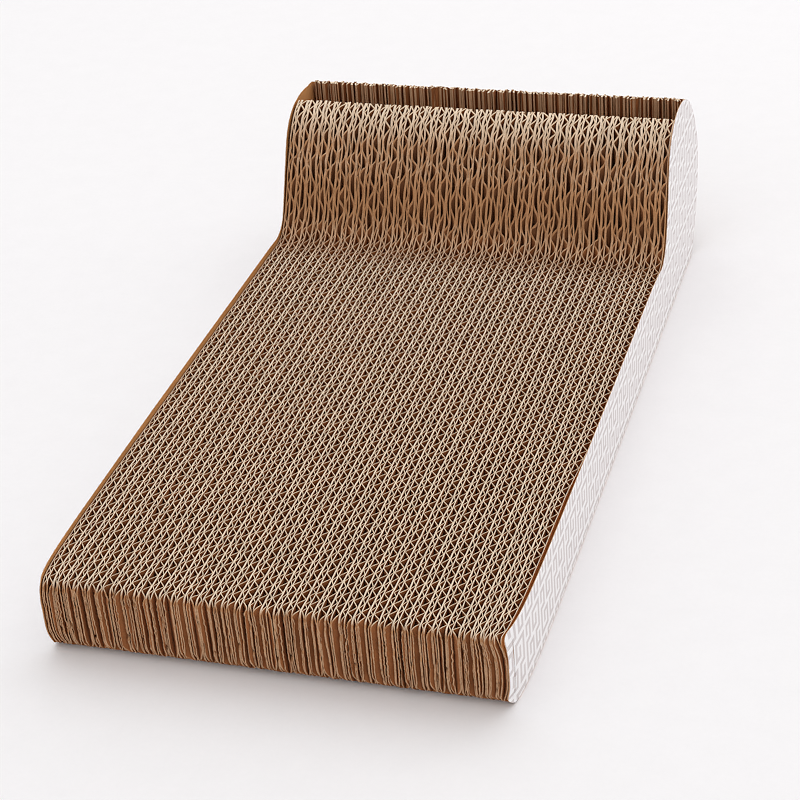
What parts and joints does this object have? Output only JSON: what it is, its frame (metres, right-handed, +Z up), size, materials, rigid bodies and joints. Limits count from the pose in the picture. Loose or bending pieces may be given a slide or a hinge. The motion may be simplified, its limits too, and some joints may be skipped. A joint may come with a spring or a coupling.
{
  "type": "cardboard cat scratcher",
  "caption": "Cat scratching bed of upright corrugated cardboard boards that rises into a rounded head with an open trough behind it, between thin printed side covers.",
  "frame": {"origin": "on the floor, under the middle of the whole object", "axes": "+Z up, +Y from the front end towards the raised head, +X across the width to the right"},
  "size_m": [0.25, 0.5, 0.12],
  "materials": {
    "corrugated_board": "raw cut corrugated kraft board",
    "cover_board": "raw kraft board",
    "printed_paper": "matte white paper with a pale grey fret pattern",
    "glue": "dried white glue"
  },
  "bodies": {
    "root": {"board_01": "corrugated_board", "board_02": "corrugated_board", "board_03": "corrugated_board", "board_04": "corrugated_board", "board_05": "corrugated_board", "board_06": "corrugated_board", "board_07": "corrugated_board", "board_08": "corrugated_board", "board_09": "corrugated_board", "board_10": "corrugated_board", "board_11": "corrugated_board", "board_12": "corrugated_board", "board_13": "corrugated_board", "board_14": "corrugated_board", "board_15": "corrugated_board", "board_16": "corrugated_board", "board_17": "corrugated_board", "board_18": "corrugated_board", "board_19": "corrugated_board", "board_20": "corrugated_board", "board_21": "corrugated_board", "board_22": "corrugated_board", "board_23": "corrugated_board", "board_24": "corrugated_board", "board_25": "corrugated_board", "board_26": "corrugated_board", "board_27": "corrugated_board", "board_28": "corrugated_board", "board_29": "corrugated_board", "board_30": "corrugated_board", "board_31": "corrugated_board", "board_32": "corrugated_board", "board_33": "corrugated_board", "board_34": "corrugated_board", "board_35": "corrugated_board", "board_36": "corrugated_board", "board_37": "corrugated_board", "left_cover": "cover_board", "right_cover": "cover_board", "left_printed_paper": "printed_paper", "right_printed_paper": "printed_paper", "glue_stripes": "glue"}
  },
  "joints": []
}
